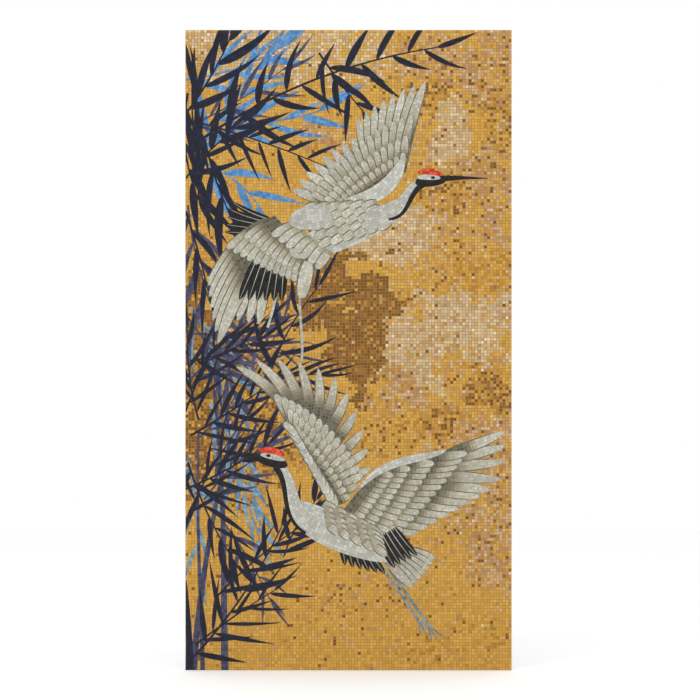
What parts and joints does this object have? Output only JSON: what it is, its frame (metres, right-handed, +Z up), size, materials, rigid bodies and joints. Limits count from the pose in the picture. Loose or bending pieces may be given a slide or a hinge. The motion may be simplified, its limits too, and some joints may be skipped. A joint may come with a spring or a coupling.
{
  "type": "mosaic panel",
  "caption": "Tall flat wall panel of opaque glass mosaic on a cement board: two cranes in flight before bamboo on a mottled gold ground, square-cut edges.",
  "frame": {"origin": "middle of the flat back face, where the panel meets the wall", "axes": "+Z up along the panel's long side, +X to the right as the picture is seen, the picture faces -Y and the wall is on the +Y side"},
  "size_m": [1.219, 0.0203, 2.392],
  "materials": {
    "backing_board": "fibre-cement board, fair-faced and sanded, matt",
    "setting_bed": "cement adhesive and grout, sand-beige, matt",
    "ground_glass": "opaque vitreous glass tesserae, mottled gold, ochre, amber and sand, satin",
    "navy_glass": "opaque vitreous glass tesserae, navy, slate and light blue, satin",
    "white_glass": "opaque vitreous glass tesserae, white to warm grey, satin",
    "black_glass": "opaque vitreous glass tesserae, black, satin",
    "grey_glass": "opaque vitreous glass tesserae, blue grey, satin",
    "red_glass": "opaque vitreous glass tesserae, vermilion, satin"
  },
  "bodies": {
    "root": {"backing_board": "backing_board", "setting_bed": "setting_bed", "bamboo_1": "navy_glass", "bamboo_2": "navy_glass", "bamboo_3": "navy_glass", "bamboo_4": "navy_glass", "bamboo_5": "navy_glass", "bamboo_6": "navy_glass", "bamboo_7": "navy_glass", "bamboo_8": "navy_glass", "bamboo_9": "navy_glass", "bamboo_10": "navy_glass", "bamboo_11": "navy_glass", "bamboo_12": "navy_glass", "bamboo_13": "navy_glass", "bamboo_14": "navy_glass", "bamboo_15": "navy_glass", "bamboo_16": "navy_glass", "bamboo_17": "navy_glass", "bamboo_18": "navy_glass", "upper_crane_black_1": "black_glass", "upper_crane_black_2": "black_glass", "upper_crane_black_3": "black_glass", "upper_crane_leg_1": "grey_glass", "upper_crane_leg_2": "grey_glass", "upper_crane_white_1": "white_glass", "upper_crane_white_2": "white_glass", "upper_crane_white_3": "white_glass", "upper_crane_white_4": "white_glass", "upper_crane_crown": "red_glass", "lower_crane_leg": "grey_glass", "lower_crane_white_1": "white_glass", "lower_crane_white_2": "white_glass", "lower_crane_white_3": "white_glass", "lower_crane_black_1": "black_glass", "lower_crane_black_2": "black_glass", "lower_crane_black_3": "black_glass", "lower_crane_crown": "red_glass", "ground_tesserae": "ground_glass"}
  },
  "joints": []
}
